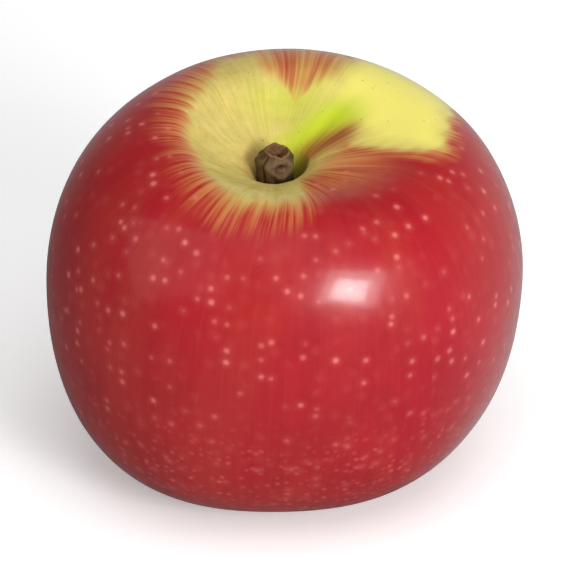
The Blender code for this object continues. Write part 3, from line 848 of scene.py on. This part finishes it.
def makeStemFinish(finish):
    # streaked bark, with painted shade darkening it towards its foot in the cavity, the scar in front and
    # paler wood at the cut
    c = withColours(finish)
    material, tree, shader = newMaterial("stemBark")
    position = addNode(tree, "ShaderNodeTexCoord").outputs["Object"]
    grain = readLayer(tree, "grain", "Vector")
    climb, cutEnd, scar, scarLip = (readLayer(tree, name) for name in ("climb", "cutEnd", "scar", "scarLip"))
    fibres, hairs = (streaks(tree, grain, *c[kind]) for kind in ("fibres", "hairs"))
    mottle = mottled(tree, position, *c["mottle"])
    bark = mixColours(tree, spread(tree, fibres, 0.25, 0.85), c["barkDark"], c["bark"])
    bark = mixColours(tree, times(tree, spread(tree, mottle, 0.4, 0.9), 0.5), bark, c["olive"])
    bark = mixColours(tree, times(tree, spread(tree, hairs, 0.55, 1.0), 0.35), bark, c["cutRim"])
    # painted shade: the bark is multiplied darker down towards its foot, deep in the cavity
    bark = mixColours(tree, spread(tree, climb, 0.84, 0.40), bark, c["barkDark"], "MULTIPLY")
    bark = mixColours(tree, times(tree, scarLip, 0.55), bark, c["scarPale"])
    bark = mixColours(tree, spread(tree, scar, 0.35, 0.9), bark, c["scarDark"])
    wood = mixColours(tree, spread(tree, cutEnd, 0.05, 0.35), c["cutRim"], c["cutWood"])
    wood = mixColours(tree, spread(tree, cutEnd, 0.75, 0.95), wood, c["barkDark"])
    wood = mixColours(tree, times(tree, mottle, 0.4), wood, c["barkDark"])
    colour = mixColours(tree, spread(tree, cutEnd, 0.02, 0.08), bark, wood)
    tree.links.new(colour, shader.inputs["Base Color"])
    rough = spread(tree, fibres, 0.0, 1.0, *c["roughness"], smooth=False)
    tree.links.new(rough, shader.inputs["Roughness"])
    heights = plus(tree, times(tree, fibres, 0.6), times(tree, hairs, 0.4))
    addRelief(tree, shader, c["reliefStrength"], c["reliefDepth"], heights)
    return material


def makeDryFinish(name, pale, dark, size):
    # mottled and matt, darker towards the tip
    material, tree, shader = newMaterial(name)
    position = addNode(tree, "ShaderNodeTexCoord").outputs["Object"]
    mottle = mottled(tree, position, size, 4.0)
    colour = mixColours(tree, spread(tree, mottle, 0.2, 0.8), hexColour(dark), hexColour(pale))
    tip = spread(tree, readLayer(tree, "along"), 0.5, 1.0)
    colour = mixColours(tree, times(tree, tip, 0.5), colour, hexColour(dark))
    tree.links.new(colour, shader.inputs["Base Color"])
    rough = spread(tree, mottle, 0.0, 1.0, 0.92, 0.74, smooth=False)
    tree.links.new(rough, shader.inputs["Roughness"])
    addRelief(tree, shader, 0.6, 0.0001, mottle)
    return material


stem.data.materials.append(makeStemFinish(stemFinish))
leafFinish = makeDryFinish("dryLeaflet", "8f7448", "4a3218", 0.0009)
threadFinish = makeDryFinish("dryThread", "5b4023", "2c1a0c", 0.0006)
for leaflet in leaflets:
    leaflet.data.materials.append(leafFinish)
for thread in threads:
    thread.data.materials.append(threadFinish)
print("finishes: skin, stem bark, dry leaflet, dry thread")


studio = {
    "floorSize": 40.0, "floorSeen": 0.95, "floorBounce": 0.78, "floorRoughness": 0.9, "floorGlow": 0.30,
    "ambient": 0.10, "frontHorizon": 0.13, "backHorizon": 0.50, "dome": 0.10, "behind": 0.98,
    "lightAim": (0.0, 0.0, 0.034),
}
softboxes = {  # azimuth from -Y towards +X, elevation, roll, distance, width, height, radiance, mirrored
    "window": (32.6, 22.4, -26.0, 1.2, 0.33, 0.34, 17.0, True),
    "windowVeil": (34.6, 24.4, -26.0, 1.21, 0.56, 0.58, 4.6, True),
    "leftGlow": (-56.0, 34.0, 32.0, 1.3, 1.2, 1.3, 0.55, True),
    "overhead": (22.0, 70.0, 0.0, 1.6, 1.3, 1.3, 2.5, False),
    "backFill": (180.0, 16.0, 0.0, 1.3, 1.3, 0.7, 0.9, False),
}


def pickByRay(tree, ray, otherwise, chosen):
    # one value for the named kind of light path and another for the rest
    path = addNode(tree, "ShaderNodeLightPath").outputs[ray]
    return addNode(tree, "ShaderNodeMix", {0: path, 2: otherwise, 3: chosen}).outputs[0]


def horizonGlow(tree, direction, s):
    inputs = {"Direction": direction, "Front": s["frontHorizon"], "Back": s["backHorizon"]}
    return useGroup(tree, surroundGroup, inputs)["Value"]


def makeFloor(s):
    # pale to the camera, mid grey as a bounce light, and as even as the air round it in reflections
    bpy.ops.mesh.primitive_plane_add(size=s["floorSize"])
    floor = bpy.context.object
    floor.name = "studioFloor"
    material, tree, shader = newMaterial("paleFloor")
    mirrored = horizonGlow(tree, addNode(tree, "ShaderNodeTexCoord").outputs["Object"], s)
    shade = pickByRay(tree, "Is Glossy Ray", s["floorBounce"], 0.0)
    shade = pickByRay(tree, "Is Camera Ray", shade, s["floorSeen"])
    tree.links.new(shade, shader.inputs["Base Color"])
    seen = pickByRay(tree, "Is Camera Ray", 0.0, s["floorGlow"])
    glow = plus(tree, seen, pickByRay(tree, "Is Glossy Ray", 0.0, mirrored))
    shader.inputs["Emission Color"].default_value = (1.0, 1.0, 1.0, 1.0)
    tree.links.new(glow, shader.inputs["Emission Strength"])
    shader.inputs["Roughness"].default_value = s["floorRoughness"]
    shader.inputs["Specular IOR Level"].default_value = 0.0
    floor.data.materials.append(material)


def makeSoftbox(name, azimuth, elevation, roll, distance, width, height, radiance, mirrored, aim):
    # an area light of the given radiance, turned to face the apple
    data = bpy.data.lights.new(name, "AREA")
    data.shape = "RECTANGLE"
    data.size, data.size_y = width, height
    data.energy = radiance * math.pi * width * height
    lamp = bpy.data.objects.new(name, data)
    across, up = math.radians(azimuth), math.radians(elevation)
    away = np.array([math.sin(across) * math.cos(up), -math.cos(across) * math.cos(up), math.sin(up)])
    lamp.location = np.array(aim) + distance * away
    turned = Matrix.Rotation(across, 3, "Z") @ Matrix.Rotation(math.pi / 2 - up, 3, "X")
    lamp.rotation_euler = (turned @ Matrix.Rotation(math.radians(roll), 3, "Z")).to_euler()
    lamp.visible_glossy = mirrored
    bpy.context.scene.collection.objects.link(lamp)


def makeWorld(s):
    # even light for matt surfaces, and in reflections a pale horizon under a dim dome
    world = bpy.data.worlds.new("studioAir")
    bpy.context.scene.world = world
    world.use_nodes = True
    tree = world.node_tree
    tree.nodes.clear()
    direction = addNode(tree, "ShaderNodeTexCoord").outputs["Generated"]
    heading = addNode(tree, "ShaderNodeSeparateXYZ", {0: direction})
    glow = spread(tree, heading.outputs[2], 0.0, 0.8, horizonGlow(tree, direction, s), s["dome"])
    level = pickByRay(tree, "Is Camera Ray", s["ambient"], s["behind"])
    level = pickByRay(tree, "Is Glossy Ray", level, glow)
    air = addNode(tree, "ShaderNodeBackground", {"Color": (1, 1, 1, 1), "Strength": level})
    out = addNode(tree, "ShaderNodeOutputWorld")
    tree.links.new(air.outputs[0], out.inputs["Surface"])


viewpoint = {"elevation": 30.9, "distance": 0.9, "aimHeight": 0.0335, "lens": 330.0}


def makeCamera(v):
    data = bpy.data.cameras.new("studioCamera")
    data.lens = v["lens"]
    data.sensor_width = 36.0
    data.clip_start, data.clip_end = 0.01, 200.0
    camera = bpy.data.objects.new("studioCamera", data)
    up = math.radians(v["elevation"])
    camera.location = (0.0, -v["distance"] * math.cos(up), v["aimHeight"] + v["distance"] * math.sin(up))
    camera.rotation_euler = (math.pi / 2 - up, 0.0, 0.0)
    bpy.context.scene.collection.objects.link(camera)
    bpy.context.scene.camera = camera


makeFloor(studio)
makeWorld(studio)
for name, settings in softboxes.items():
    makeSoftbox(name, *settings, aim=studio["lightAim"])
makeCamera(viewpoint)
bpy.context.scene.view_settings.view_transform = "Standard"
print("studio: floor, air,", len(softboxes), "softboxes and a camera")
